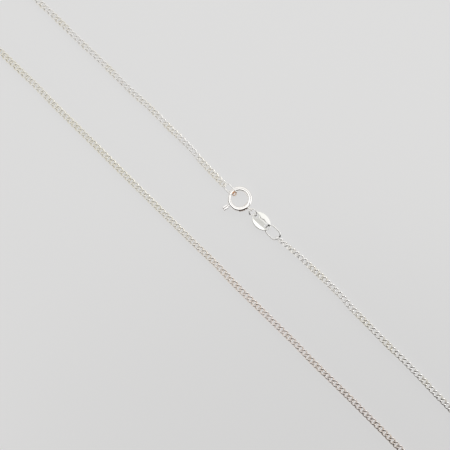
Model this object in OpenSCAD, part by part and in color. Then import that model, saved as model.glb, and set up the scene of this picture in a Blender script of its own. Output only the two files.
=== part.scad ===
// A fine curb chain necklace lying flat: two chain halves, a spring ring clasp, an oval tag
// and jump rings. X runs along the two strands, Y across them and Z up from the surface.

/* [Chain] */
// Width of the chain, across the links as they lie
chain_w = 1.45; // [1.2:0.05:1.8]
// Height of the chain as it lies
chain_h = 0.86; // [0.76:0.02:1]
// Diameter of a link's wire
link_wire = 0.38; // [0.34:0.01:0.4]
// Length of one link over its wire
link_l = 1.92; // [1.86:0.01:2.2]
// Twist of a link from one end to the other, in degrees
link_twist = 110; // [100:1:120]

/* [Clasp ring] */
// Outer diameter of the clasp
clasp_d = 5; // [4.8:0.1:6]
// Outer diameter of its bent tube
clasp_tube = 1; // [0.9:0.02:1.1]
// Wall of the tube
clasp_wall = 0.14; // [0.1:0.01:0.18]
// Where the mouth starts, in degrees round the clasp
mouth_from = 201; // [195:1:205]
// Where the mouth ends, in degrees round the clasp
mouth_to = 232; // [226:1:238]
// Outer diameter of the soldered eye
eye_d = 1.3; // [1.25:0.05:1.5]
// Diameter of the eye's wire
eye_wire = 0.3; // [0.24:0.01:0.32]
// Depth of the eye in the tube's outer side
eye_sink = 0.3; // [0.2:0.02:0.34]
// Width of the solder cone at the tube
solder_d = 0.9; // [0.6:0.05:0.95]
// Length of the solder cone from inside the tube's wall to its tip
solder_l = 0.38; // [0.34:0.01:0.42]

/* [Clasp bolt] */
// Clearance between the tongue and the tube's bore, all round
bolt_gap = 0.05; // [0.03:0.01:0.08]
// How far the tongue's tip reaches into the tube past the mouth, in degrees
tongue_reach = 8; // [5:1:12]
// Angle of the trigger at rest, in degrees round the clasp
trigger_at = 257; // [254:1:262]
// Travel of the trigger, in degrees
trigger_travel = 38; // [30:1:40]
// Width of the trigger's stem, along the slot
stem_w = 0.4; // [0.3:0.02:0.5]
// Height of the trigger's stem
stem_h = 0.3; // [0.2:0.02:0.4]
// Diameter of each of the trigger's two bars
trigger_bar = 0.48; // [0.4:0.02:0.6]
// Distance between the two bars' middles
trigger_pitch = 0.44; // [0.36:0.02:0.5]
// How far the trigger stands out from the clasp
trigger_out = 1.35; // [1:0.05:1.6]

/* [Jump rings] */
// Wire diameter of the two oval rings
oval_wire = 0.36; // [0.3:0.01:0.4]
// Outer length of an oval ring
oval_l = 3.6; // [3.4:0.05:4.4]
// Outer width of an oval ring
oval_w = 2.56; // [2.5:0.02:3]
// How far the left ring is rolled up on its side, in degrees
roll_left = 59; // [52:1:64]
// How far the right ring is rolled up on its side, in degrees
roll_right = 30; // [26:1:36]
// Wire diameter of the small round ring
small_wire = 0.32; // [0.26:0.01:0.34]
// Outer diameter of the small round ring
small_d = 1.95; // [1.9:0.05:2.3]
// How far the small ring is rolled up on its side, in degrees
roll_small = 42; // [36:1:48]

/* [Tag] */
// Length of the oval plate
tag_l = 4.3; // [4:0.05:5]
// Width of the oval plate
tag_w = 3.2; // [2.8:0.05:3.6]
// Radius of the plate's end arcs
tag_end = 1.15; // [1:0.05:1.3]
// Thickness of the plate
tag_t = 0.2; // [0.16:0.01:0.24]
// Radius of the plate's bend across its width
tag_bend = 4.5; // [3.6:0.1:8]
// Diameter of its two holes
tag_hole = 0.95; // [0.9:0.01:1.05]
// From the plate's end to the middle of a hole
hole_inset = 0.67; // [0.64:0.01:0.75]
// How far the tag leans, its inner edge up, in degrees
tag_lean = 14; // [10:1:18]

/* [Hidden] */
$fn = 48;

// Gaps left between pieces that hook each other: under the clasp, and at an end link
lift_gap = 0.08;
hook_gap = 0.12;
// Gap between the clasp's outer side and the trigger's bars
bar_gap = 0.12;
// Room between the clasp's tube and the end of the ring that hooks it
tube_gap = 0.3;
// Gap between a chain half's solid and its end link
link_gap = 0.1;
// How far past a hole's middle the small ring's wire passes: through the eye, and through the tag
eye_seat = 0.03;
hole_seat = 0.1;
// Height of the middle of the tag, and how far its right ring is lifted by the hole's edge
tag_z = 0.82;
right_lift = 0.05;

// Place of the clasp's middle along the line that the clasp, the rings and the tag lie on
clasp_x = -1.6;
line_y = 5.45;

// Clasp, from the middle of its tube
clasp_r = (clasp_d - clasp_tube) / 2;
clasp_bore = clasp_tube - 2 * clasp_wall;
clasp_z = oval_wire + lift_gap + clasp_tube / 2;
tongue_d = clasp_bore - 2 * bolt_gap;
slot_h = stem_h + 2 * bolt_gap;
// Half the stem's angle at the tube's outer side, with its clearance and the slot's play
slot_play = 1;
stem_half = asin((stem_w / 2 + bolt_gap) / (clasp_d / 2 - clasp_wall)) + slot_play;
// How far the tongue runs on behind the trigger, in degrees
tail_reach = 10;
eye_r = (eye_d - eye_wire) / 2;
eye_x = clasp_x + clasp_d / 2 + eye_d / 2 - eye_sink;

// Oval rings, from the middle of their wire
end_r = (oval_w - oval_wire) / 2;
side_half = (oval_l - oval_w) / 2;

// Left ring: round the clasp's tube, its low side on the surface
left_x = clasp_x - clasp_r + clasp_tube / 2 + oval_wire / 2 + tube_gap - end_r - side_half;
left_z = oval_wire / 2 + end_r * sin(roll_left);

// Small ring: from the eye to the tag's first hole
small_r = (small_d - small_wire) / 2;
small_x = eye_x + small_r + eye_seat;

// Tag: its first hole on the small ring, its outer edge down on the surface
hole_half = tag_l / 2 - hole_inset;
tag_x = small_x + small_r + hole_seat + hole_half;

// Right ring: through the tag's second hole
right_x = tag_x + hole_half + end_r + side_half;
right_z = oval_wire / 2 + end_r * sin(roll_right) + right_lift;

// Links
link_a = (link_l - link_wire) / 2;
link_b = (chain_w - link_wire) / 2;
LINK_STEPS = 16;
LINK_SIDES = 6;
// From the middle of an oval ring's end wire to the middle of the link that it holds
link_reach = link_a - (link_wire + oval_wire) / 2 - hook_gap;

// Seat of each end link on its ring: how far round the ring's end it hangs, and its own roll
seat_left = 15;
seat_right = 5;
link_roll_left = 5;
link_roll_right = 68;
seat_l = ring_point(left_x, left_z, roll_left, 180 + seat_left);
seat_r = ring_point(right_x, right_z, roll_right, -seat_right);
link_l_at = [seat_l[0] - link_reach, seat_l[1], seat_l[2]];
link_r_at = [seat_r[0] + link_reach, seat_r[1], seat_r[2]];

// Route of the chain between its end links, once round the loop: x and y
CHAIN_ROUTE = [
    [-12.5, 5.45], [-15.5, 5.7], [-22, 5.65], [-25.5, 5.7], [-29, 5.55],
    [-32.5, 5.4], [-39, 5.4], [-46, 5.2], [-52.5, 5.15], [-60, 4.95],
    [-75, 4.9], [-90, 4.9], [-104.5, 4.9],
    [-106.9, 4.4], [-108.9, 3.1], [-110.2, 1.1], [-110.7, -1.2],
    [-110.2, -3.5], [-108.9, -5.5], [-106.9, -6.8], [-104.5, -7.25],
    [-90, -7.25], [-75, -7.25], [-60, -7.25], [-49.5, -7.1], [-45, -7],
    [-40.5, -7.1], [-31.5, -7.05], [-22.5, -7.05], [-13.5, -7], [-5, -6.95],
    [0, -6.9],
    [4, -6.8], [8.5, -6.95], [17, -6.9], [26, -6.8], [30.5, -6.9],
    [39.5, -6.8], [48.5, -6.8], [60, -6.9], [75, -6.9], [90, -6.9],
    [104.5, -6.9],
    [106.9, -6.4], [108.9, -5.1], [110.2, -3], [110.7, -0.65],
    [110.2, 1.7], [108.9, 3.8], [106.9, 5.1], [104.5, 5.6],
    [90, 5.6], [75, 5.6], [60, 5.6], [52, 5.7], [49, 5.8], [42.5, 5.9],
    [39, 5.8], [32.5, 5.9], [29, 5.9], [26, 6.1], [22.5, 6.1], [19, 6],
    [16, 5.9], [14, 5.8]
];
// The two halves meet at this point of the route
MEET = 31;

// A point of an oval ring's middle line, at an angle round its end
function ring_point(x, z, roll, a) =
    let (u = end_r * sin(a))
    [x + sign(cos(a)) * side_half + end_r * cos(a), line_y + u * cos(roll), z + u * sin(roll)];

function unit(v) = v / norm(v);

// A link's middle line: an oval whose plane turns by the twist from one end to the other
function link_point(t) =
    let (turn = -link_twist / 2 * cos(t))
    [link_a * cos(t), link_b * sin(t) * cos(turn), link_b * sin(t) * sin(turn)];

function link_ring(t) =
    let (turn = -link_twist / 2 * cos(t),
         along = unit(link_point(t + 1) - link_point(t - 1)),
         side = unit(cross([0, -sin(turn), cos(turn)], along)),
         up = cross(along, side))
    [for (i = [0:LINK_SIDES - 1])
        let (s = i * 360 / LINK_SIDES)
        link_point(t) + link_wire / 2 * (cos(s) * side + sin(s) * up)];

// One link as a closed wire of straight-sided rings
module link() {
    points = [for (k = [0:LINK_STEPS - 1]) each link_ring(k * 360 / LINK_STEPS)];
    faces = [for (k = [0:LINK_STEPS - 1], i = [0:LINK_SIDES - 1])
        let (n = (k + 1) % LINK_STEPS, j = (i + 1) % LINK_SIDES,
             a = k * LINK_SIDES, b = n * LINK_SIDES)
        each [[a + i, a + j, b + i], [a + j, b + j, b + i]]];
    polyhedron(points, faces);
}

// Directions along the route at each of its points, level across the chain
function heading(p, k) = unit(p[min(k + 1, len(p) - 1)] - p[max(k - 1, 0)]);

// Chain half: a flat-bottomed oval tube through the points given
module tube(p) {
    sides = 8;
    half = 180 / sides;
    count = len(p);
    points = [for (k = [0:count - 1])
        let (along = heading(p, k), side = unit(cross([0, 0, 1], along)), up = cross(along, side))
        for (i = [0:sides - 1])
            let (s = (2 * i + 1) * half)
            p[k] + (chain_w / 2 * cos(s) * side + chain_h / 2 * sin(s) * up) / cos(half)];
    faces = concat(
        [[for (i = [0:sides - 1]) i]],
        [for (k = [0:count - 2], i = [0:sides - 1])
            let (j = (i + 1) % sides, a = k * sides, b = a + sides)
            each [[a + i, b + i, a + j], [a + j, b + i, b + j]]],
        [[for (i = [sides - 1:-1:0]) (count - 1) * sides + i]]);
    polyhedron(points, faces);
}

// A point of the route in space
function laid(q) = [q[0], q[1], chain_h / 2];

module chain_left() {
    start = [link_l_at[0] - link_l / 2 - link_gap, link_l_at[1], link_l_at[2]];
    color("silver")
        tube(concat([start], [for (k = [0:MEET]) laid(CHAIN_ROUTE[k])]));
}

module chain_right() {
    start = [link_r_at[0] + link_l / 2 + link_gap, link_r_at[1], link_r_at[2]];
    color("silver")
        tube(concat([for (k = [MEET:len(CHAIN_ROUTE) - 1]) laid(CHAIN_ROUTE[k])], [start]));
}

module end_link_left() {
    color("silver")
        translate(link_l_at)
            rotate([link_roll_left, 0, 0])
                link();
}

module end_link_right() {
    color("silver")
        translate(link_r_at)
            rotate([link_roll_right, 0, 0])
                link();
}

// A ring of wire round Z, or a part of one
module wire_ring(r, wire, from = 0, sweep = 360) {
    rotate([0, 0, from])
        rotate_extrude(angle = sweep)
            translate([r, 0])
                circle(d = wire);
}

// Oval ring: two half rings and two straight sides
module oval_ring() {
    for (s = [0, 180])
        rotate([0, 0, s]) {
            translate([side_half, 0, 0])
                wire_ring(end_r, oval_wire, -90, 180);
            translate([0, end_r, 0])
                rotate([0, 90, 0])
                    cylinder(d = oval_wire, h = 2 * side_half, center = true);
        }
}

module jump_ring_left() {
    color("gainsboro")
        translate([left_x, line_y, left_z])
            rotate([roll_left, 0, 0])
                oval_ring();
}

module jump_ring_right() {
    color("gainsboro")
        translate([right_x, line_y, right_z])
            rotate([roll_right, 0, 0])
                oval_ring();
}

module jump_ring_small() {
    rise = asin((tag_z - clasp_z) / (2 * small_r));
    color("gainsboro")
        translate([small_x, line_y, (clasp_z + tag_z) / 2])
            rotate([0, -rise, 0])
                rotate([roll_small, 0, 0])
                    wire_ring(small_r, small_wire);
}

// Clasp: a bent tube open at the mouth, the slot for the trigger, and the soldered eye
module clasp_ring() {
    sweep = 360 - (mouth_to - mouth_from);
    color("gainsboro")
        translate([clasp_x, line_y, clasp_z])
            difference() {
                union() {
                    wire_ring(clasp_r, clasp_tube, mouth_to, sweep);
                    translate([clasp_d / 2 - clasp_tube / 4, 0, 0])
                        rotate([0, 90, 0])
                            cylinder(d1 = solder_d, d2 = eye_wire, h = solder_l);
                    translate([eye_x - clasp_x, 0, 0])
                        rotate([90, 0, 0])
                            wire_ring(eye_r, eye_wire);
                }
                wire_ring(clasp_r, clasp_bore, mouth_to - 1, sweep + 2);
                rotate([0, 0, trigger_at - stem_half])
                    rotate_extrude(angle = trigger_travel + 2 * stem_half)
                        translate([clasp_r, -slot_h / 2])
                            square([clasp_tube, slot_h]);
            }
}

// Bolt: the tongue in the tube, the stem through the slot and the two-barred trigger
module clasp_bolt() {
    tip = mouth_from - tongue_reach;
    tail = trigger_at + tail_reach;
    bar_from = clasp_d / 2 + bar_gap;
    bar_to = clasp_d / 2 + trigger_out - trigger_bar / 2;
    color("white")
        translate([clasp_x, line_y, clasp_z]) {
            wire_ring(clasp_r, tongue_d, tip, tail - tip);
            rotate([0, 0, trigger_at]) {
                translate([clasp_r, -stem_w / 2, -stem_h / 2])
                    cube([bar_from - clasp_r + trigger_bar / 2, stem_w, stem_h]);
                for (s = [-1, 1])
                    translate([bar_from, s * trigger_pitch / 2, 0])
                        rotate([0, 90, 0])
                            cylinder(d = trigger_bar, h = bar_to - bar_from);
                for (s = [-1, 1])
                    translate([bar_to, s * trigger_pitch / 2, 0])
                        sphere(d = trigger_bar);
            }
        }
}

// Tag outline: an oval of four arcs, the side arcs meeting the end arcs smoothly
module tag_outline() {
    d = tag_l / 2 - tag_end;
    // radius of the side arcs that touch the end arcs, and where they touch
    side = (d * d + pow(tag_w / 2, 2) - tag_end * tag_end) / (2 * (tag_w / 2 - tag_end));
    off = side - tag_w / 2;
    touch = d * side / (side - tag_end);
    for (s = [-1, 1])
        translate([s * d, 0])
            circle(r = tag_end);
    intersection() {
        translate([0, -off])
            circle(r = side);
        translate([0, off])
            circle(r = side);
        square([2 * touch, tag_w], center = true);
    }
}

module tag() {
    color("white")
        translate([tag_x, line_y, tag_z])
            rotate([-tag_lean, 0, 0])
                difference() {
                    intersection() {
                        translate([0, 0, -tag_w / 2])
                            linear_extrude(tag_w)
                                tag_outline();
                        translate([0, 0, -tag_bend])
                            rotate([0, 90, 0])
                                difference() {
                                    cylinder(r = tag_bend + tag_t / 2, h = tag_l, center = true);
                                    cylinder(r = tag_bend - tag_t / 2, h = tag_l + 1, center = true);
                                }
                    }
                    for (s = [-1, 1])
                        translate([s * hole_half, 0, -tag_t * 2])
                            cylinder(d = tag_hole, h = tag_t * 4);
                }
}

chain_left();
chain_right();
end_link_left();
end_link_right();
jump_ring_left();
clasp_ring();
clasp_bolt();
jump_ring_small();
tag();
jump_ring_right();
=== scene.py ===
"""Looks of a fine silver curb chain necklace that lies on a pale surface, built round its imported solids.
Lengths are metres and angles degrees. X runs along the two strands, Y across them and Z up from the
surface."""

import math
from functools import partial

import bmesh
import bpy
import numpy as np
from mathutils import Matrix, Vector
from mathutils.geometry import delaunay_2d_cdt


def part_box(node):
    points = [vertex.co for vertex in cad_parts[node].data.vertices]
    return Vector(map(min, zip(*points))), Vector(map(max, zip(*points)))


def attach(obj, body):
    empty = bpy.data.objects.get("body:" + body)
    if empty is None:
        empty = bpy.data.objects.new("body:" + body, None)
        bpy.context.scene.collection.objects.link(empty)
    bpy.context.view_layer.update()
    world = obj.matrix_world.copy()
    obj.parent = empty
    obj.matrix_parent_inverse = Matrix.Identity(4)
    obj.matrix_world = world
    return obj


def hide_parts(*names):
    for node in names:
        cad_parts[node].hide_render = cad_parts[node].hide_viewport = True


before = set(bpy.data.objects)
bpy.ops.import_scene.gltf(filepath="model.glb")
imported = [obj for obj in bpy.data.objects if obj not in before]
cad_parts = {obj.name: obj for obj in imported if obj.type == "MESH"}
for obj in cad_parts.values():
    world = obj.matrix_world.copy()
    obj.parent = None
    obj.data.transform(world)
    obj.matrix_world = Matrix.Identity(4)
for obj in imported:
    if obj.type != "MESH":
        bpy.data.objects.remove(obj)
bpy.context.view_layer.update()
MM = 0.001

# Floor: half its width, the share of light that it throws back, and its own glow
FLOOR_HALF = 8
FLOOR_ALBEDO = 0.15
FLOOR_GLOW = 0.624
FLOOR_TINT = (1, 0.997, 0.994, 1)

# Light tent: its strength on the near side, low down on that side, and on the far side, which lies in the
# direction TENT_SIDE in plan. The two pairs are slopes of a mirror seen from above, 0 where it lies flat,
# between which low turns into near, and near into far. LEAST_RISE keeps directions that point straight down
# from a division by nothing
TENT_TINT = (1.0, 0.995, 0.985, 1)
TENT_NEAR = 0.67
TENT_LOW = 1.0
TENT_FAR = 1.04
TENT_SIDE = 118
NEAR_SLOPES = (-0.75, -0.55)
FAR_SLOPES = (0.2, 0.36)
LEAST_RISE = 0.05

# Oval cards between the lens and the chain, dark or glowing, which the silver mirrors: middle, half sizes,
# turn, and the colour and strength of the glow
CARDS = {
    "dark_left": ((-11 * MM, -84 * MM, 80 * MM), (45 * MM, 74 * MM), 30, (1, 0.85, 0.65), 0.03),
    "dark_right": ((78 * MM, -28 * MM, 27 * MM), (61 * MM, 76 * MM), 90, (1, 0.7, 0.5), 0.02),
    "white_right": ((70 * MM, 56 * MM, 30 * MM), (40 * MM, 30 * MM), 0, (1, 1, 1), 2.6),
    "white_chain": ((23 * MM, 8 * MM, 22 * MM), (9 * MM, 6 * MM), 0, (1, 1, 1), 1.2),
    "white_tag": ((8.9 * MM, 2.6 * MM, 40 * MM), (6 * MM, 8.5 * MM), 0, (1, 1, 1), 1.4),
    "white_flare": ((2.4 * MM, 5.8 * MM, 40 * MM), (5 * MM, 5 * MM), 0, (1, 1, 1), 1.4),
    "white_trigger": ((-2.4 * MM, 2.1 * MM, 14 * MM), (7 * MM, 5 * MM), 0, (1, 1, 1), 1.3),
}
CARD_ALBEDO = 0.02
CARD_SIDES = 64

# Camera: straight above, with the strands running from the upper left to the lower right
FIELD = 88.2 * MM
LENS = 67
SENSOR = 36
AIM = (0.0, -0.128 * MM)
ROLL = 45
CLIP = (0.01, 10)

# Links
CHAIN_W = 1.45 * MM
LINK_WIRE = 0.38 * MM
LINK_L = 1.92 * MM
LINK_TWIST = 110
LINK_STEPS = 32
LINK_SIDES = 12
CHAIN_Z = 0.43 * MM
# Distance between links as they lie, on the left half, on the near strand and right of the tag
PITCH_LEFT = 1.055 * MM
PITCH_FRONT = 1.055 * MM
PITCH_RIGHT = 1.08 * MM
# Roll of each half's end link, and how fast the links beside it lie down, in degrees a link
ROLL_END_LEFT = 5
ROLL_END_RIGHT = 68
UNROLL = 5
# Small unevenness of the chain as it lies: its spread in degrees, the links to each side that it is smoothed
# over, and the links that it fades in over from the ends of a stretch
CHAIN_SEED = 417
ROLL_DRIFT = 2.2
ROLL_REACH = 9
YAW_DRIFT = 1.2
YAW_REACH = 3
DRIFT_FADE = 6

# Route of the chain between its end links: left half, near strand to the right bend, and back
ROUTE_LEFT = [
    (-0.0125, 0.00545), (-0.0155, 0.0057), (-0.022, 0.00565), (-0.0255, 0.0057),
    (-0.029, 0.00555), (-0.0325, 0.0054), (-0.039, 0.0054), (-0.046, 0.0052),
    (-0.0525, 0.00515), (-0.06, 0.00495), (-0.075, 0.0049), (-0.09, 0.0049),
    (-0.1045, 0.0049), (-0.1069, 0.0044), (-0.1089, 0.0031), (-0.1102, 0.0011),
    (-0.1107, -0.0012), (-0.1102, -0.0035), (-0.1089, -0.0055), (-0.1069, -0.0068),
    (-0.1045, -0.00725), (-0.09, -0.00725), (-0.075, -0.00725), (-0.06, -0.00725),
    (-0.0495, -0.0071), (-0.045, -0.007), (-0.0405, -0.0071), (-0.0315, -0.00705),
    (-0.0225, -0.00705), (-0.0135, -0.007), (-0.005, -0.00695), (0.0, -0.0069),
]
ROUTE_FRONT = [
    (0.004, -0.0068), (0.0085, -0.00695), (0.017, -0.0069), (0.026, -0.0068),
    (0.0305, -0.0069), (0.0395, -0.0068), (0.0485, -0.0068), (0.06, -0.0069),
    (0.075, -0.0069), (0.09, -0.0069),
]
ROUTE_BACK = [
    (0.1045, -0.0069), (0.1069, -0.0064), (0.1089, -0.0051), (0.1102, -0.003), (0.1107, -0.00065),
    (0.1102, 0.0017), (0.1089, 0.0038), (0.1069, 0.0051), (0.1045, 0.0056),
    (0.09, 0.0056), (0.075, 0.0056), (0.06, 0.0056), (0.052, 0.0057), (0.049, 0.0058),
    (0.0425, 0.0059), (0.039, 0.0058), (0.0325, 0.0059), (0.029, 0.0059), (0.026, 0.0061),
    (0.0225, 0.0061), (0.019, 0.006), (0.016, 0.0059), (0.014, 0.0058),
]
# Points of the smooth curve between two points of a route, and the even spacing that it is then read at
ROUTE_STEPS = 60
ROUTE_STEP = 0.02 * MM

# Oval and round jump rings
OVAL_WIRE = 0.36 * MM
OVAL_L = 3.6 * MM
OVAL_W = 2.56 * MM
OVAL_END_STEPS = 33
OVAL_SIDE_STEPS = 6
ROLL_LEFT = 59
ROLL_RIGHT = 30
SMALL_WIRE = 0.32 * MM
SMALL_D = 1.95 * MM
SMALL_STEPS = 64
ROLL_SMALL = 42
RING_SIDES = 20

# Clasp: tube and mouth
CLASP_D = 5.0 * MM
CLASP_TUBE = 1.0 * MM
CLASP_WALL = 0.14 * MM
MOUTH_FROM = 201
MOUTH_TO = 232
LIP = 0.05 * MM
BORE_OVER = 2
TUBE_STEPS = 150
TUBE_SIDES = 40
BORE_SIDES = 32
CLASP_CRISP = 35
# Eye, and the solder flare from the tube to it: its radius at the tube, how hollow its curve is, and the
# shares of the tube and of the eye's wire that its ends reach in by
EYE_D = 1.3 * MM
EYE_WIRE = 0.3 * MM
EYE_SINK = 0.3 * MM
EYE_STEPS = 56
FLARE_R = 0.47 * MM
FLARE_HOLLOW = 2.2
FLARE_IN_TUBE = 0.28
FLARE_IN_EYE = 0.2
FLARE_STEPS = 12
# Bolt: tongue, stem through the slot, and trigger of two bars side by side, whose round ends close to the
# share BAR_TIP of their radius
BOLT_GAP = 0.05 * MM
TONGUE_REACH = 8
TONGUE_ROUND = 0.3
TONGUE_STEPS = 60
TAIL_REACH = 10
TRIGGER_AT = 257
TRIGGER_TRAVEL = 38
STEM_W = 0.4 * MM
STEM_H = 0.3 * MM
STEM_SIDES = 20
SLOT_PLAY = 1
SLOT_STEPS = 24
TRIGGER_BAR = 0.48 * MM
TRIGGER_PITCH = 0.44 * MM
TRIGGER_OUT = 1.35 * MM
BAR_GAP = 0.12 * MM
BAR_SIDES = 28
BAR_END_STEPS = 8
BAR_TIP = 0.02
BOLT_CRISP = 40

# Tag: an oval plate of end arcs and side arcs, bent round X, with rounded edges and a hole at each end
TAG_L = 4.3 * MM
TAG_W = 3.2 * MM
TAG_END = 1.15 * MM
TAG_T = 0.2 * MM
TAG_BEND = 4.5 * MM
TAG_HOLE = 0.95 * MM
HOLE_INSET = 0.67 * MM
TAG_LEAN = 14
TAG_Z = 0.82 * MM
TAG_ROUND = 0.1 * MM
TAG_CRISP = 50
# Its mesh: spacing of the grid and the share of it kept clear of edges, points round the edges and holes,
# steps of the rounding, and the share of the grid's spacing within which points are joined
TAG_GRID = 0.05 * MM
GRID_CLEAR = 0.6
RIM_POINTS = 160
HOLE_POINTS = 56
ROUND_STEPS = 5
WELD = 1 / 50
# Its faint waves: height, length and shift of the long one, share, length along X and length along Y of the
# fine one, and how far in from the rim both are full, where 1 is the middle
WAVE = 0.012 * MM
WAVE_LONG = 0.62 * MM
WAVE_SHIFT = 0.6
FINE_SHARE = 0.6
FINE_X = 0.9 * MM
FINE_Y = 0.35 * MM
WAVE_RIM = 0.45
# Its crease, a shallow groove also painted dark as shade: depth, width, the line that it wanders along as a
# height and as waves of height, length and shift, where it ends to each side, and the length that it fades
# out over
CREASE_DEPTH = 0.045 * MM
CREASE_W = 0.1 * MM
CREASE_Y = 0.38 * MM
CREASE_WAVES = [(0.07 * MM, 0.28 * MM, 0.0), (0.05 * MM, 0.17 * MM, 1.0)]
CREASE_END = 1.6875 * MM
CREASE_FADE = 1.25 * MM
# Painted shade along its near rim, darker where the surface turns away from above: strength, the rise of
# the surface's normal at which the shade begins, the further drop to full shade, and the distance from the
# middle line to full shade
RIM_SHADE = 0.7
RIM_RISE = 0.8
RIM_DROP = 0.3
RIM_REACH = 0.5 * MM

# Silver of each slot: bright, tinted and tarnished colour, roughness, and depth of its scratches
SILVERS = {
    "chain_silver": ((0.96, 0.95, 0.935, 1), (0.93, 0.905, 0.84, 1), (0.72, 0.66, 0.59, 1), 0.05, 0.001 * MM),
    "ring_silver": ((0.95, 0.945, 0.93, 1), (0.92, 0.91, 0.89, 1), (0.8, 0.74, 0.68, 1), 0.12, 0.001 * MM),
    "clasp_silver": ((0.97, 0.955, 0.945, 1), (0.95, 0.93, 0.9, 1), (0.82, 0.74, 0.67, 1), 0.1, 0.001 * MM),
    "tag_silver": ((0.96, 0.955, 0.94, 1), (0.93, 0.93, 0.89, 1), (0.82, 0.8, 0.74, 1), 0.13, 0.0015 * MM),
}
# Its patterns: size of the blotches, the noise values between which they come in, and how strong they are;
# the gloss varies between two shares of the roughness
TINT_SIZE = 6 * MM
TINT_FROM_TO = (0.42, 0.62)
TARNISH_SIZE = 1.1 * MM
TARNISH_FROM_TO = (0.56, 0.72)
TARNISH_MOST = 0.35
GLOSS_SIZE = 0.22 * MM
GLOSS_FROM_TO = (0.3, 0.7)
GLOSS_SHARES = (0.7, 1.4)
SCRATCH_SIZE = 0.12 * MM
SCRATCH_STRENGTH = 0.5
# Faint tarnish of the near strand: colours at its left and its right, where one turns into the other, and
# where it comes in across the loop
OLIVE = (0.93, 0.905, 0.82, 1)
ROSE = (0.94, 0.85, 0.8, 1)
OLIVE_TO_ROSE = (-12 * MM, 14 * MM)
HANDLED_FROM_TO = (-4 * MM, -6 * MM)
HANDLED_MOST = 0.6
# Colour of the painted shade along the tag's crease and near rim
SHADE_COLOUR = (0.3, 0.29, 0.27, 1)
SHADE_FROM_TO = (0.35, 0.8)
SHADE_MOST = 0.9
# A stain and spots of painted shade: a copper stain where the left ring crosses the clasp, brown painted
# shade beside the solder, dark painted shade where rings touch; each is its place in plan, radius and colour
COPPER = (0.86, 0.57, 0.36, 1)
# painted shade in the crevice beside the solder
SOLDER_SHADE = (0.3, 0.2, 0.15, 1)
# painted shade where rings touch and pass through holes
CONTACT_SHADE = (0.08, 0.075, 0.07, 1)
STAINS_AND_SHADES = [
    ((-3.05 * MM, 5.5 * MM), 0.36 * MM, COPPER), ((0.14 * MM, 3.89 * MM), 0.1 * MM, SOLDER_SHADE),
    ((0.33 * MM, 4.2 * MM), 0.12 * MM, SOLDER_SHADE), ((0.55 * MM, 4.6 * MM), 0.12 * MM, SOLDER_SHADE),
    ((0.74 * MM, 5.1 * MM), 0.08 * MM, SOLDER_SHADE), ((1.93 * MM, 4.76 * MM), 0.12 * MM, CONTACT_SHADE),
    ((2.72 * MM, 4.47 * MM), 0.12 * MM, CONTACT_SHADE), ((3.12 * MM, 5.46 * MM), 0.2 * MM, CONTACT_SHADE),
    ((6.1 * MM, 5.86 * MM), 0.14 * MM, CONTACT_SHADE), ((9.15 * MM, 5.86 * MM), 0.14 * MM, CONTACT_SHADE),
]
STAIN_SHADE_EDGE = 0.12 * MM
STAIN_SHADE_RAGGED = 0.3 * MM
STAIN_SHADE_MOST = 0.95


def unit(v):
    """v with the length of each row brought to 1."""
    return v / np.linalg.norm(v, axis=-1, keepdims=True)


def turned(points, axis, degrees):
    """points turned about the X, Y or Z axis."""
    a = math.radians(degrees)
    c, s = math.cos(a), math.sin(a)
    i, j = {"x": (1, 2), "y": (2, 0), "z": (0, 1)}[axis]
    out = np.array(points, float)
    p, q = out[..., i].copy(), out[..., j].copy()
    out[..., i] = c * p - s * q
    out[..., j] = s * p + c * q
    return out


def full_turn(count):
    """Even angles round a full turn, in radians."""
    return np.arange(count) * 2 * math.pi / count


def circle(angles):
    """Points of the unit circle in plan."""
    return np.stack([np.cos(angles), np.sin(angles), 0 * angles], 1)


def repeated(direction, count):
    """The same direction for each of count points."""
    return np.tile(np.array(direction, float), (count, 1))


def bands(rows, sides, closed=False):
    """Faces between neighbouring rows of points, each row a loop of its own."""
    faces = []
    for k in range(rows if closed else rows - 1):
        a, b = k * sides, (k + 1) % rows * sides
        for i in range(sides):
            j = (i + 1) % sides
            faces.append((a + i, b + i, b + j, a + j))
    return faces


def tube_faces(rows, sides, closed=False):
    """Faces of a tube through rows of points, with a cap on each end where it isn't closed."""
    faces = bands(rows, sides, closed)
    if not closed:
        faces.append(tuple(range(sides)))
        faces.append(tuple(reversed(range((rows - 1) * sides, rows * sides))))
    return faces


def sweep(centres, across, up, radius, sides, closed):
    """Vertices and faces of a wire of round section, whose section lies in the directions across and up."""
    count = len(centres)
    angles = full_turn(sides)
    radius = np.broadcast_to(np.asarray(radius, float), (count,))
    ring = np.cos(angles)[None, :, None] * across[:, None] + np.sin(angles)[None, :, None] * up[:, None]
    points = (centres[:, None] + radius[:, None, None] * ring).reshape(-1, 3)
    return points, tube_faces(count, sides, closed)


def joined(parts):
    """One set of vertices and faces from several."""
    points, faces, start = [], [], 0
    for p, f in parts:
        points.append(p)
        faces += [tuple(start + i for i in face) for face in f]
        start += len(p)
    return np.concatenate(points), faces


def cleaned(mesh, weld=0):
    """Turns the mesh's faces outwards, after joining the points that lie within weld of each other."""
    b = bmesh.new()
    b.from_mesh(mesh)
    if weld:
        bmesh.ops.remove_doubles(b, verts=b.verts, dist=weld)
    bmesh.ops.recalc_face_normals(b, faces=b.faces)
    b.to_mesh(mesh)
    b.free()


def mesh_object(name, points, faces):
    """An object in the scene from vertices and faces, with its faces turned outwards."""
    mesh = bpy.data.meshes.new(name)
    mesh.from_pydata([tuple(p) for p in points], [], faces)
    cleaned(mesh)
    obj = bpy.data.objects.new(name, mesh)
    bpy.context.scene.collection.objects.link(obj)
    return obj


def combine(base, tool, operation):
    """Unites base with tool, or cuts base by it, and removes tool."""
    step = base.modifiers.new(operation, "BOOLEAN")
    step.operation = operation
    step.solver = "EXACT"
    step.object = tool
    graph = bpy.context.evaluated_depsgraph_get()
    mesh = bpy.data.meshes.new_from_object(base.evaluated_get(graph))
    base.modifiers.clear()
    base.data = mesh
    bpy.data.objects.remove(tool)


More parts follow.
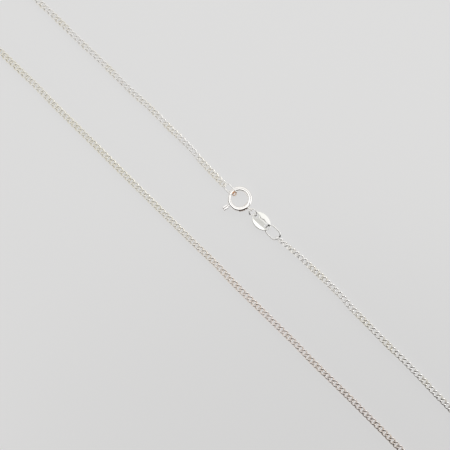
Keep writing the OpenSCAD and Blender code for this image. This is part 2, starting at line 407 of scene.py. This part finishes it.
def finish_piece(obj, node, slot, crisp=None):
    """Gives a piece its material, body and slot in place of the solid that it stands for. It is shaded
    smooth, and edges sharper than crisp stay so."""
    obj.data.shade_smooth()
    if crisp:
        obj.data.set_sharp_from_angle(angle=math.radians(crisp))
    obj.data.materials.clear()
    obj.data.materials.append(MATERIALS[slot])
    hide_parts(node)
    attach(obj, "bolt" if node == "clasp_bolt" else "necklace")


def box_middle(node):
    """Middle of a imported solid's box."""
    low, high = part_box(node)
    return np.array((low + high) / 2)


def smooth_path(points):
    """A smooth curve through the points given: even distances along it, and its points there."""
    points = np.asarray(points, float)
    points = np.concatenate([[2 * points[0] - points[1]], points, [2 * points[-1] - points[-2]]])
    line = []
    for p0, p1, p2, p3 in zip(points, points[1:], points[2:], points[3:]):
        # centripetal knots, which keep uneven spacing from making loops
        t1 = np.linalg.norm(p1 - p0) ** 0.5
        t2 = t1 + np.linalg.norm(p2 - p1) ** 0.5
        t3 = t2 + np.linalg.norm(p3 - p2) ** 0.5
        t = np.linspace(t1, t2, ROUTE_STEPS, endpoint=False)[:, None]
        a1 = (t1 - t) / t1 * p0 + t / t1 * p1
        a2 = (t2 - t) / (t2 - t1) * p1 + (t - t1) / (t2 - t1) * p2
        a3 = (t3 - t) / (t3 - t2) * p2 + (t - t2) / (t3 - t2) * p3
        b1 = (t2 - t) / t2 * a1 + t / t2 * a2
        b2 = (t3 - t) / (t3 - t1) * a2 + (t - t1) / (t3 - t1) * a3
        line.append((t2 - t) / (t2 - t1) * b1 + (t - t1) / (t2 - t1) * b2)
    line = np.concatenate(line + [points[-2:-1]])
    run = np.concatenate([[0], np.cumsum(np.linalg.norm(np.diff(line, axis=0), axis=1))])
    even = np.linspace(0, run[-1], int(run[-1] / ROUTE_STEP) + 1)
    return even, np.stack([np.interp(even, run, line[:, i]) for i in range(3)], 1)


def on_path(path, distance):
    """The point at a distance along a path, or the nearer end for a distance beyond it."""
    run, line = path
    return np.array([np.interp(distance, run, line[:, i]) for i in range(3)])


def link():
    """One twisted link round its own middle, with its length along X."""
    a = (LINK_L - LINK_WIRE) / 2
    b = (CHAIN_W - LINK_WIRE) / 2

    def turn(t):
        return -math.radians(LINK_TWIST) / 2 * np.cos(t)

    def middle(t):
        return np.stack([a * np.cos(t), b * np.sin(t) * np.cos(turn(t)), b * np.sin(t) * np.sin(turn(t))], 1)

    t = full_turn(LINK_STEPS)
    small = 0.01
    along = unit(middle(t + small) - middle(t - small))
    normal = np.stack([0 * t, -np.sin(turn(t)), np.cos(turn(t))], 1)
    across = unit(np.cross(normal, along))
    return sweep(middle(t), across, np.cross(along, across), LINK_WIRE / 2, LINK_SIDES, True)


def drift(rng, count, spread, reach):
    """Slow unevenness along the chain: noise of the given spread, smoothed over reach links to each side."""
    noise = rng.normal(size=count + 2 * reach)
    window = np.hanning(2 * reach + 1)
    slow = np.convolve(noise, window / np.sqrt((window ** 2).sum()), "valid")
    return spread * slow[:count]


def placed_links(path, pitch, rng, roll_from=0, roll_to=0, keep_last=True):
    """Links along a path, rolled as given at its start and its end. The first is made elsewhere, and so is
    the last where it isn't kept."""
    length = path[0][-1]
    gaps = max(1, round(length / pitch))
    places = np.arange(gaps + 1) * length / gaps
    count = len(places)
    from_start = np.arange(count)
    from_end = from_start[::-1]
    roll = np.sign(roll_from) * np.maximum(0, abs(roll_from) - UNROLL * from_start)
    roll = roll + np.sign(roll_to) * np.maximum(0, abs(roll_to) - UNROLL * from_end)
    fade = np.clip(np.minimum(from_start, from_end) / DRIFT_FADE, 0, 1)
    roll = roll + fade * drift(rng, count, ROLL_DRIFT, ROLL_REACH)
    yaw = fade * drift(rng, count, YAW_DRIFT, YAW_REACH)
    shape, faces = link()
    parts = []
    for k in range(1, count if keep_last else count - 1):
        along = unit(on_path(path, places[k] + pitch / 2) - on_path(path, places[k] - pitch / 2))
        across = unit(np.cross([0, 0, 1], along))
        axes = np.stack([along, across, np.cross(along, across)])
        points = turned(turned(shape, "x", roll[k]), "z", yaw[k]) @ axes + on_path(path, places[k])
        # no link dips into the surface
        points[:, 2] += max(0, -points[:, 2].min())
        parts.append((points, faces))
    return parts


def chain_pieces():
    """The links of the two halves, in three stretches that follow on from each other, and the end links."""
    rng = np.random.default_rng(CHAIN_SEED)
    left, front, back = [[(x, y, CHAIN_Z) for x, y in route]
                         for route in (ROUTE_LEFT, ROUTE_FRONT, ROUTE_BACK)]
    left_path = smooth_path([box_middle("end_link_left"), *left])
    front_path = smooth_path([left[-1], *front])
    back_path = smooth_path([front[-1], *back, box_middle("end_link_right")])
    # the outer stretches run towards -X at the end links, so their rolls have the other sign there
    left_links = placed_links(left_path, PITCH_LEFT, rng, roll_from=-ROLL_END_LEFT)
    front_links = placed_links(front_path, PITCH_FRONT, rng)
    back_links = placed_links(back_path, PITCH_RIGHT, rng, roll_to=-ROLL_END_RIGHT, keep_last=False)
    for node, parts in (("chain_left", left_links), ("chain_right", front_links + back_links)):
        finish_piece(mesh_object(node + "_links", *joined(parts)), node, "chain_silver")
    shape, faces = link()
    for node, roll in (("end_link_left", ROLL_END_LEFT), ("end_link_right", ROLL_END_RIGHT)):
        points = turned(shape, "x", roll) + box_middle(node)
        finish_piece(mesh_object(node + "_wire", points, faces), node, "chain_silver")


def ring_arc(radius, wire, start, end, steps, sides, closed=False, lip=0):
    """A wire bent round Z, or a part of one, with its ends rounded over by lip."""
    angles = np.radians(np.linspace(start, end, steps, endpoint=not closed))
    r = np.full(len(angles), wire / 2)
    if lip:
        # closer steps at the ends, for the rounding
        near = np.array([0, 0.1, 0.3, 0.6, 1]) * lip / radius
        middle = np.linspace(angles[0] + near[-1], angles[-1] - near[-1], steps)
        angles = np.concatenate([angles[0] + near[:-1], middle, angles[-1] - near[-2::-1]])
        depth = np.minimum(angles - angles[0], angles[-1] - angles) * radius
        inside = np.clip(depth / lip, 0, 1)
        r = wire / 2 - lip * (1 - np.sqrt(1 - (1 - inside) ** 2))
    out = circle(angles)
    return sweep(radius * out, out, repeated((0, 0, 1), len(out)), r, sides, closed)


def oval_ring():
    """An oval ring of wire: two half rings joined by straight sides."""
    end_r = (OVAL_W - OVAL_WIRE) / 2
    side_half = (OVAL_L - OVAL_W) / 2
    out = circle(np.radians(np.linspace(-90, 90, OVAL_END_STEPS)))
    bend = [side_half, 0, 0] + end_r * out
    share = np.linspace(0, 1, OVAL_SIDE_STEPS)[1:-1, None]
    side = (1 - share) * bend[-1] + share * (bend[-1] * [-1, 1, 1])
    points = np.concatenate([bend, side])
    across = np.concatenate([out, repeated((0, 1, 0), len(side))])
    points = np.concatenate([points, turned(points, "z", 180)])
    across = np.concatenate([across, turned(across, "z", 180)])
    return sweep(points, across, repeated((0, 0, 1), len(points)), OVAL_WIRE / 2, RING_SIDES, True)


def jump_rings():
    """The two oval rings, and the small round one, which rises from the clasp's eye to the tag."""
    points, faces = oval_ring()
    for node, roll in (("jump_ring_left", ROLL_LEFT), ("jump_ring_right", ROLL_RIGHT)):
        ring = mesh_object(node + "_wire", turned(points, "x", roll) + box_middle(node), faces)
        finish_piece(ring, node, "ring_silver")
    radius = (SMALL_D - SMALL_WIRE) / 2
    points, faces = ring_arc(radius, SMALL_WIRE, 0, 360, SMALL_STEPS, RING_SIDES, closed=True)
    rise = math.degrees(math.asin((TAG_Z - box_middle("clasp_ring")[2]) / (2 * radius)))
    points = turned(turned(points, "x", ROLL_SMALL), "y", -rise) + box_middle("jump_ring_small")
    finish_piece(mesh_object("jump_ring_small_wire", points, faces), "jump_ring_small", "ring_silver")


def clasp_middle():
    """Middle of the clasp's ring, without the eye that stands out from it."""
    low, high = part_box("clasp_ring")
    return np.array([low[0] + CLASP_D / 2, (low[1] + high[1]) / 2, (low[2] + high[2]) / 2])


def lathed(profile, sides):
    """A solid of revolution round X from (x, radius) pairs, closed at both ends."""
    xs, rs = np.array(profile).T
    centres = np.stack([xs, 0 * xs, 0 * xs], 1)
    across, up = repeated((0, 1, 0), len(xs)), repeated((0, 0, 1), len(xs))
    return sweep(centres, across, up, rs, sides, False)


def flare(eye_x, eye_r):
    """Solder from the tube to the eye, a hollow curve in place of a straight cone."""
    narrow = EYE_WIRE / 2
    start = CLASP_D / 2 - CLASP_TUBE * FLARE_IN_TUBE
    end = eye_x - eye_r + EYE_WIRE * FLARE_IN_EYE
    return lathed([(start + (end - start) * s, narrow + (FLARE_R - narrow) * (1 - s) ** FLARE_HOLLOW)
                   for s in np.linspace(0, 1, FLARE_STEPS)], TUBE_SIDES)


def slot_cutter(radius):
    """The slot in the tube's outer side that the bolt's stem slides along."""
    half = STEM_H / 2 + BOLT_GAP
    play = math.degrees(math.asin((STEM_W / 2 + BOLT_GAP) / (CLASP_D / 2 - CLASP_WALL))) + SLOT_PLAY
    angles = np.radians(np.linspace(TRIGGER_AT - play, TRIGGER_AT + TRIGGER_TRAVEL + play, SLOT_STEPS))
    corners = [(radius, -half), (radius + CLASP_TUBE, -half), (radius + CLASP_TUBE, half), (radius, half)]
    points = np.array([[r * math.cos(a), r * math.sin(a), z] for a in angles for r, z in corners])
    return points, tube_faces(len(angles), len(corners))


def clasp_ring():
    """The clasp's hollow tube, open at its mouth and slot, with its flare and eye."""
    radius = (CLASP_D - CLASP_TUBE) / 2
    bore = CLASP_TUBE - 2 * CLASP_WALL
    eye_r = (EYE_D - EYE_WIRE) / 2
    eye_x = CLASP_D / 2 + EYE_D / 2 - EYE_SINK
    start, end = MOUTH_TO, MOUTH_FROM + 360
    shell = ring_arc(radius, CLASP_TUBE, start, end, TUBE_STEPS, TUBE_SIDES, lip=LIP)
    hollow = ring_arc(radius, bore, start - BORE_OVER, end + BORE_OVER, TUBE_STEPS, BORE_SIDES)
    eye, eye_faces = ring_arc(eye_r, EYE_WIRE, 0, 360, EYE_STEPS, RING_SIDES, closed=True)
    ring = mesh_object("clasp_ring_shell", *shell)
    combine(ring, mesh_object("flare", *flare(eye_x, eye_r)), "UNION")
    combine(ring, mesh_object("eye", turned(eye, "x", 90) + [eye_x, 0, 0], eye_faces), "UNION")
    combine(ring, mesh_object("bore", *hollow), "DIFFERENCE")
    combine(ring, mesh_object("slot", *slot_cutter(radius)), "DIFFERENCE")
    ring.data.transform(Matrix.Translation(tuple(clasp_middle())))
    finish_piece(ring, "clasp_ring", "clasp_silver", CLASP_CRISP)


def capsule(start, end, radius):
    """A rod along X with round ends."""
    turn = np.linspace(0, math.pi / 2, BAR_END_STEPS)[1:]
    tip = radius * BAR_TIP
    left = [(start - radius * math.cos(t), radius * math.sin(t)) for t in turn]
    right = [(end + radius * math.cos(t), radius * math.sin(t)) for t in turn[::-1]]
    return lathed([(start - radius, tip)] + left + right + [(end + radius, tip)], BAR_SIDES)


def clasp_bolt():
    """The bolt: a tongue inside the tube, a stem through the slot, and the trigger's two bars."""
    radius = (CLASP_D - CLASP_TUBE) / 2
    tongue = CLASP_TUBE - 2 * CLASP_WALL - 2 * BOLT_GAP
    bar_from = CLASP_D / 2 + BAR_GAP
    bar_to = CLASP_D / 2 + TRIGGER_OUT - TRIGGER_BAR / 2
    body = ring_arc(radius, tongue, MOUTH_FROM - TONGUE_REACH, TRIGGER_AT + TAIL_REACH,
                    TONGUE_STEPS, BORE_SIDES, lip=tongue * TONGUE_ROUND)
    bolt = mesh_object("clasp_bolt_body", *body)
    points, faces = lathed([(radius, STEM_H / 2), (bar_from + TRIGGER_BAR / 2, STEM_H / 2)], STEM_SIDES)
    points[:, 1] *= STEM_W / STEM_H
    combine(bolt, mesh_object("stem", turned(points, "z", TRIGGER_AT), faces), "UNION")
    for side in (-1, 1):
        points, faces = capsule(bar_from + TRIGGER_BAR / 4, bar_to, TRIGGER_BAR / 2)
        points[:, 0] = np.maximum(points[:, 0], bar_from)
        points = points + [0, side * TRIGGER_PITCH / 2, 0]
        combine(bolt, mesh_object("bar", turned(points, "z", TRIGGER_AT), faces), "UNION")
    bolt.data.transform(Matrix.Translation(tuple(clasp_middle())))
    finish_piece(bolt, "clasp_bolt", "clasp_silver", BOLT_CRISP)


def tag_edge(inset):
    """Points of the tag's outline, moved inwards by inset: end arcs and side arcs that meet smoothly."""
    d = TAG_L / 2 - TAG_END
    side = (d * d + (TAG_W / 2) ** 2 - TAG_END ** 2) / (2 * (TAG_W / 2 - TAG_END))
    off = side - TAG_W / 2
    points = []
    for a in full_turn(RIM_POINTS):
        c, s = math.cos(a), math.sin(a)
        if abs(s) * d < abs(c) * off:
            middle, radius = (math.copysign(d, c), 0), TAG_END
        else:
            middle, radius = (0, math.copysign(off, -s)), side
        points.append((middle[0] + (radius - inset) * c, middle[1] + (radius - inset) * s))
    return np.array(points)


def hole_edge(side, inset):
    """Points round the hole on one side, -1 or 1, moved into the plate by inset."""
    middle = [side * (TAG_L / 2 - HOLE_INSET), 0]
    return middle + (TAG_HOLE / 2 + inset) * circle(full_turn(HOLE_POINTS))[:, :2]


def tag_crease(x, y):
    """Depth of the crease that wanders along the tag from hole to hole, which also sets its painted shade."""
    line = CREASE_Y + sum(height * np.sin(x / length + shift) for height, length, shift in CREASE_WAVES)
    away = (y - line) / CREASE_W
    return CREASE_DEPTH * np.exp(-away * away) * np.clip((CREASE_END - np.abs(x)) / CREASE_FADE, 0, 1)


def tag_wave(x, y):
    """Height of the plate's faint waves, which die out at its rim."""
    wave = np.sin(x / WAVE_LONG + WAVE_SHIFT) + FINE_SHARE * np.sin(y / FINE_Y + x / FINE_X)
    inner = 1 - (x / (TAG_L / 2)) ** 2 - (y / (TAG_W / 2)) ** 2
    return WAVE * wave * np.clip(inner / WAVE_RIM, 0, 1)


def tag_surface(xy, h, top=False):
    """The bent plate's points over xy, at height h from the middle of its thickness."""
    x, y = xy[:, 0], xy[:, 1]
    z = np.sqrt((TAG_BEND + h) ** 2 - y * y) - TAG_BEND + tag_wave(x, y)
    if top:
        z = z - tag_crease(x, y)
    return np.stack([x, y, z], 1)


def inside_loop(points, loop):
    """Which points lie inside a closed outline."""
    a, b = loop, np.roll(loop, -1, 0)
    x, y = points[:, 0, None], points[:, 1, None]
    crosses = (a[:, 1] > y) != (b[:, 1] > y)
    with np.errstate(divide="ignore", invalid="ignore"):
        at = a[:, 0] + (y - a[:, 1]) / (b[:, 1] - a[:, 1]) * (b[:, 0] - a[:, 0])
    return (crosses & (x < at)).sum(1) % 2 == 1


def on_plate(points, loops):
    """Which points lie inside the first loop, the rim, and outside the others, the holes."""
    inside = inside_loop(points, loops[0])
    for hole in loops[1:]:
        inside &= ~inside_loop(points, hole)
    return inside


def tag_plan(loops):
    """Points and triangles of the flat plate between its rim and its holes, on an even grid."""
    xs = np.arange(-TAG_L / 2, TAG_L / 2, TAG_GRID)
    ys = np.arange(-TAG_W / 2, TAG_W / 2, TAG_GRID)
    grid = np.array([(x + (j % 2) * TAG_GRID / 2, y) for j, y in enumerate(ys) for x in xs])
    near = np.min([np.linalg.norm(grid[:, None] - loop[None], axis=2).min(1) for loop in loops], axis=0)
    grid = grid[on_plate(grid, loops) & (near > GRID_CLEAR * TAG_GRID)]
    bounds, start = [], 0
    for loop in loops:
        bounds += [(start + i, start + (i + 1) % len(loop)) for i in range(len(loop))]
        start += len(loop)
    # in millimetres, because the triangulation works at a fixed fineness
    flat = [tuple(p / MM) for p in np.concatenate(loops + [grid])]
    flat, _, faces, _, _, _ = delaunay_2d_cdt(flat, bounds, [], 0, 1e-6)
    flat = np.array(flat) * MM
    middles = np.array([flat[list(f)].mean(0) for f in faces])
    return flat, [tuple(f) for f, kept in zip(faces, on_plate(middles, loops)) if kept]


def tag_rounding(edge):
    """The rounded edge along the rim or a hole, from the top of the plate to its underside."""
    turns = np.radians(np.linspace(0, 90, ROUND_STEPS))
    insets = TAG_ROUND * (1 - np.sin(turns))
    heights = TAG_T / 2 - TAG_ROUND * (1 - np.cos(turns))
    rows = [tag_surface(edge(i), h) for i, h in zip(insets, heights)]
    rows += [tag_surface(edge(i), -h) for i, h in zip(insets[::-1], heights[::-1])]
    return np.concatenate(rows), bands(len(rows), len(rows[0]))


def mark_shade(plate, middle):
    """Stores how much painted shade each point of the plate gets: along its crease, and along its near rim
    where the surface turns away from above.
    """
    shade_and_gloss = plate.data.attributes.new("painted_shade", "FLOAT", "POINT")
    for vertex, value in zip(plate.data.vertices, shade_and_gloss.data):
        x, y, z = turned(np.array(vertex.co) - middle, "x", TAG_LEAN)
        on_top = z > math.sqrt(TAG_BEND ** 2 - y * y) - TAG_BEND
        rise = turned(np.array(vertex.normal), "x", TAG_LEAN)[2]
        # painted shade on the near rim, darker where the surface turns away from above
        rim = RIM_SHADE * np.clip((RIM_RISE - rise) / RIM_DROP, 0, 1) * np.clip(-y / RIM_REACH, 0, 1)
        # painted shade along the crease, darkest where the crease is deepest
        value.value = max(rim, tag_crease(x, y) / CREASE_DEPTH if on_top else 0.0)


def tag():
    """The tag, leaning on its rings, in line with the clasp."""
    edges = [tag_edge, partial(hole_edge, -1), partial(hole_edge, 1)]
    flat, faces = tag_plan([edge(TAG_ROUND) for edge in edges])
    parts = [(tag_surface(flat, TAG_T / 2, top=True), faces),
             (tag_surface(flat, -TAG_T / 2), [f[::-1] for f in faces])]
    points, faces = joined(parts + [tag_rounding(edge) for edge in edges])
    low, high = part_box("tag")
    middle = np.array([(low[0] + high[0]) / 2, box_middle("clasp_ring")[1], TAG_Z])
    plate = mesh_object("tag_plate", turned(points, "x", -TAG_LEAN) + middle, faces)
    cleaned(plate.data, weld=WELD * TAG_GRID)
    # painted shade along the crease and the near rim
    mark_shade(plate, middle)
    finish_piece(plate, "tag", "tag_silver", TAG_CRISP)


class Nodes:
    """Short calls for building a node tree."""

    def __init__(self, tree):
        self.tree = tree
        tree.nodes.clear()

    def add(self, kind, **settings):
        node = self.tree.nodes.new(kind)
        for key, value in settings.items():
            setattr(node, key, value)
        return node

    def put(self, socket, value):
        if isinstance(value, bpy.types.NodeSocket):
            self.tree.links.new(value, socket)
        else:
            socket.default_value = value

    def math(self, operation, a, b):
        node = self.add("ShaderNodeMath", operation=operation)
        self.put(node.inputs[0], a)
        self.put(node.inputs[1], b)
        return node.outputs[0]

    def vector(self, operation, a, b):
        node = self.add("ShaderNodeVectorMath", operation=operation)
        self.put(node.inputs[0], a)
        self.put(node.inputs[1], b)
        return node.outputs["Value" if operation == "DISTANCE" else "Vector"]

    def split(self, vector):
        node = self.add("ShaderNodeSeparateXYZ")
        self.put(node.inputs[0], vector)
        return node.outputs

    def ramp(self, value, low_high, to_low=0.0, to_high=1.0):
        """value taken from the range low to high into another, smoothly and without overshoot."""
        node = self.add("ShaderNodeMapRange", interpolation_type="SMOOTHSTEP")
        for socket, v in zip(node.inputs, (value, *low_high, to_low, to_high)):
            self.put(socket, v)
        return node.outputs[0]

    def noise(self, coords, size, detail=3.0, rough=0.5):
        """Noise whose blotches are about size metres across."""
        node = self.add("ShaderNodeTexNoise")
        self.put(node.inputs["Vector"], coords)
        node.inputs["Scale"].default_value = 1 / size
        node.inputs["Detail"].default_value = detail
        node.inputs["Roughness"].default_value = rough
        return node.outputs["Fac"]

    def mix(self, share, a, b):
        node = self.add("ShaderNodeMix", data_type="RGBA")
        self.put(node.inputs[0], share)
        self.put(node.inputs[6], a)
        self.put(node.inputs[7], b)
        return node.outputs[2]


def handled(n, coords, colour):
    """colour with the near strand's faint tarnish."""
    x, y, _ = n.split(coords)
    warm = n.mix(n.ramp(x, OLIVE_TO_ROSE), OLIVE, ROSE)
    return n.mix(n.ramp(y, HANDLED_FROM_TO, 0.0, HANDLED_MOST), colour, warm)


def painted_shade(n, _, colour):
    """colour darkened by painted shade where the piece is marked for it."""
    shade_and_gloss = n.add("ShaderNodeAttribute", attribute_name="painted_shade").outputs["Fac"]
    return n.mix(n.ramp(shade_and_gloss, SHADE_FROM_TO, 0.0, SHADE_MOST), colour, SHADE_COLOUR)


def stained_and_shaded(n, coords, colour):
    """colour with the copper stain and the spots of painted shade laid over it, each with a ragged edge."""
    plan = n.vector("MULTIPLY", coords, (1, 1, 0))
    ragged = n.math("MULTIPLY", n.math("SUBTRACT", n.noise(coords, STAIN_SHADE_RAGGED), 0.5), 2 * STAIN_SHADE_EDGE)
    for (x, y), radius, paint in STAINS_AND_SHADES:
        # each spot is the copper stain or a spot of painted shade
        away = n.math("ADD", n.vector("DISTANCE", plan, (x, y, 0)), ragged)
        colour = n.mix(n.ramp(away, (radius, radius + STAIN_SHADE_EDGE), STAIN_SHADE_MOST, 0.0), colour, paint)
    return colour


# marks of each slot: a faint tint on the chain, the copper stain and painted shade on rings and clasp,
# painted shade on the tag
MARKS = {"chain_silver": handled, "ring_silver": stained_and_shaded, "clasp_silver": stained_and_shaded, "tag_silver": painted_shade}


def silver(slot, bright, tint, tarnish, rough, scratch):
    """Polished silver with a slow change of tint, faint tarnish, its slot's marks, among them a copper stain
    and spots of painted shade, an uneven gloss and fine scratches."""
    material = bpy.data.materials.new(slot)
    material.use_nodes = True
    n = Nodes(material.node_tree)
    coords = n.add("ShaderNodeTexCoord").outputs["Object"]
    out = n.add("ShaderNodeOutputMaterial")
    shader = n.add("ShaderNodeBsdfPrincipled")
    n.put(out.inputs[0], shader.outputs[0])
    n.put(shader.inputs["Metallic"], 1.0)
    colour = n.mix(n.ramp(n.noise(coords, TINT_SIZE, detail=2.0), TINT_FROM_TO), bright, tint)
    spots = n.noise(coords, TARNISH_SIZE, detail=4.0, rough=0.6)
    colour = n.mix(n.ramp(spots, TARNISH_FROM_TO, 0.0, TARNISH_MOST), colour, tarnish)
    n.put(shader.inputs["Base Color"], MARKS[slot](n, coords, colour))
    shade_and_gloss = n.noise(coords, GLOSS_SIZE, detail=4.0, rough=0.65)
    n.put(shader.inputs["Roughness"], n.ramp(shade_and_gloss, GLOSS_FROM_TO, *(rough * share for share in GLOSS_SHARES)))
    bump = n.add("ShaderNodeBump")
    n.put(bump.inputs["Strength"], SCRATCH_STRENGTH)
    n.put(bump.inputs["Distance"], scratch)
    n.put(bump.inputs["Height"], n.noise(coords, SCRATCH_SIZE, detail=5.0, rough=0.6))
    n.put(shader.inputs["Normal"], bump.outputs[0])
    return material


def matt(name, albedo, tint, glow):
    """Grey matt material without gloss, which glows by itself."""
    material = bpy.data.materials.new(name)
    material.use_nodes = True
    shader = material.node_tree.nodes["Principled BSDF"]
    shader.inputs["Base Color"].default_value = (albedo, albedo, albedo, 1)
    shader.inputs["Roughness"].default_value = 0.9
    shader.inputs["Specular IOR Level"].default_value = 0.0
    shader.inputs["Emission Color"].default_value = tint
    shader.inputs["Emission Strength"].default_value = glow
    return material


def floor():
    """Pale acrylic, whose own glow stands for the light that spreads inside it and fills small shadows."""
    half = FLOOR_HALF
    points = np.array([(-half, -half, 0), (half, -half, 0), (half, half, 0), (-half, half, 0)], float)
    plane = mesh_object("floor", points, [(0, 1, 2, 3)])
    plane.data.materials.append(matt("pale_floor", FLOOR_ALBEDO, FLOOR_TINT, FLOOR_GLOW))


def studio():
    """A light tent all round, whose strength changes with the slope of a mirror that shows it from above."""
    world = bpy.data.worlds.new("tent")
    bpy.context.scene.world = world
    world.use_nodes = True
    n = Nodes(world.node_tree)
    x, y, z = n.split(n.add("ShaderNodeTexCoord").outputs["Generated"])
    rise = n.math("MAXIMUM", n.math("ADD", z, 1.0), LEAST_RISE)

    def slope(degrees):
        a = math.radians(degrees)
        level = n.math("ADD", n.math("MULTIPLY", x, math.cos(a)), n.math("MULTIPLY", y, math.sin(a)))
        return n.math("DIVIDE", level, rise)

    near = n.ramp(slope(90), NEAR_SLOPES, TENT_LOW, TENT_NEAR)
    tent = n.ramp(slope(TENT_SIDE), FAR_SLOPES, near, TENT_FAR)
    back = n.add("ShaderNodeBackground")
    n.put(back.inputs["Color"], TENT_TINT)
    n.put(back.inputs["Strength"], tent)
    out = n.add("ShaderNodeOutputWorld")
    n.put(out.inputs[0], back.outputs[0])


def cards():
    """The oval cards, out of the lens's sight."""
    for name, (middle, half_sizes, turn, tint, glow) in CARDS.items():
        rim = circle(full_turn(CARD_SIDES)) * (*half_sizes, 0)
        card = mesh_object(name, turned(rim, "z", turn) + middle, [tuple(range(CARD_SIDES))])
        card.data.materials.append(matt(name, CARD_ALBEDO, (*tint, 1), glow))
        card.visible_camera = False
        # a glowing card would throw a bright pool on the floor
        card.visible_diffuse = glow < 1


def camera():
    """The camera above the floor, at the height from which the photo's field fills its frame."""
    data = bpy.data.cameras.new("camera")
    data.lens = LENS
    data.sensor_width = SENSOR
    data.clip_start, data.clip_end = CLIP
    obj = bpy.data.objects.new("camera", data)
    bpy.context.scene.collection.objects.link(obj)
    obj.location = (*AIM, FIELD * LENS / SENSOR)
    obj.rotation_euler = (0, 0, math.radians(ROLL))
    bpy.context.scene.camera = obj


camera()
MATERIALS = {slot: silver(slot, *look) for slot, look in SILVERS.items()}
chain_pieces()
jump_rings()
clasp_ring()
clasp_bolt()
tag()
floor()
studio()
cards()
bpy.context.scene.view_settings.view_transform = "Standard"
